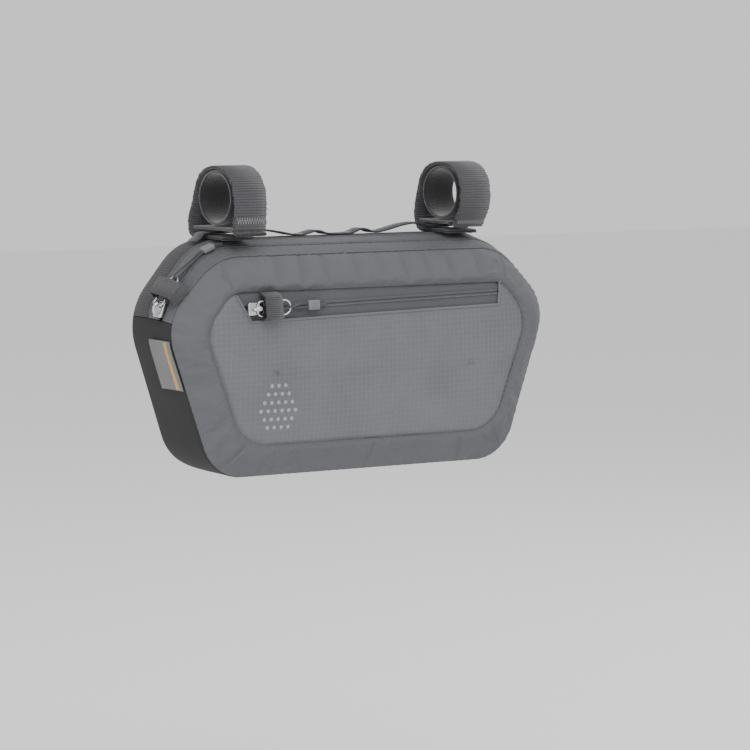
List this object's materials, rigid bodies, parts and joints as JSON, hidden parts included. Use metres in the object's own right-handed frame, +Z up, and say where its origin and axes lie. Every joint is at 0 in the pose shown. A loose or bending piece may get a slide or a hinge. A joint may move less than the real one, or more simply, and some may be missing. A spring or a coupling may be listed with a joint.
{
  "type": "bicycle handlebar bag",
  "caption": "Padded zip pouch for a bicycle handlebar, with a pocket zip in its front panel and two webbing straps that close round the bar.",
  "frame": {"origin": "on the handlebar's axis, midway between the two straps", "axes": "+X along the handlebar, the bag's front faces -Y, +Z up"},
  "size_m": [0.2544, 0.0672, 0.1733],
  "materials": {
    "ripstop": "dark grey ripstop nylon, coated, soft sheen",
    "coated_cloth": "dark grey coated nylon over foam, semi-gloss",
    "gusset_cloth": "black woven nylon, matte",
    "zip_tape": "grey herringbone zip tape with a coil chain",
    "webbing": "ribbed dark grey webbing, matte",
    "loop_pile": "black fuzzy hook-and-loop layer",
    "pull_cord": "thin braided cord",
    "grip_rubber": "matte moulded rubber",
    "slider_metal": "polished gunmetal",
    "label_cloth": "woven label, bare"
  },
  "bodies": {
    "root": {"front_panel": "ripstop", "pocket_tape_upper": "zip_tape", "pocket_tape_lower": "zip_tape", "pocket_zip_chain": "zip_tape", "pocket_slider": "slider_metal", "pocket_pull_loop": "slider_metal", "pocket_pull_cord": "pull_cord", "pocket_grip": "grip_rubber", "pocket_pull_tail": "pull_cord", "pocket_garage": "webbing", "ring_top": "coated_cloth", "ring_left": "coated_cloth", "ring_right": "coated_cloth", "ring_bottom": "coated_cloth", "main_tape_front": "zip_tape", "main_tape_rear": "zip_tape", "main_zip_chain": "zip_tape", "main_slider": "slider_metal", "main_pull_loop": "slider_metal", "main_pull_cord": "pull_cord", "main_grip": "grip_rubber", "main_pull_tail": "pull_cord", "main_garage": "webbing", "gusset_upper": "gusset_cloth", "gusset_lower": "gusset_cloth", "back_panel": "gusset_cloth", "side_label": "label_cloth", "daisy_chain": "webbing", "strap_left": "webbing", "strap_right": "webbing", "strap_liner_left": "loop_pile", "strap_liner_right": "loop_pile", "strap_tongue_left": "loop_pile", "strap_tongue_right": "loop_pile"}
  },
  "joints": []
}
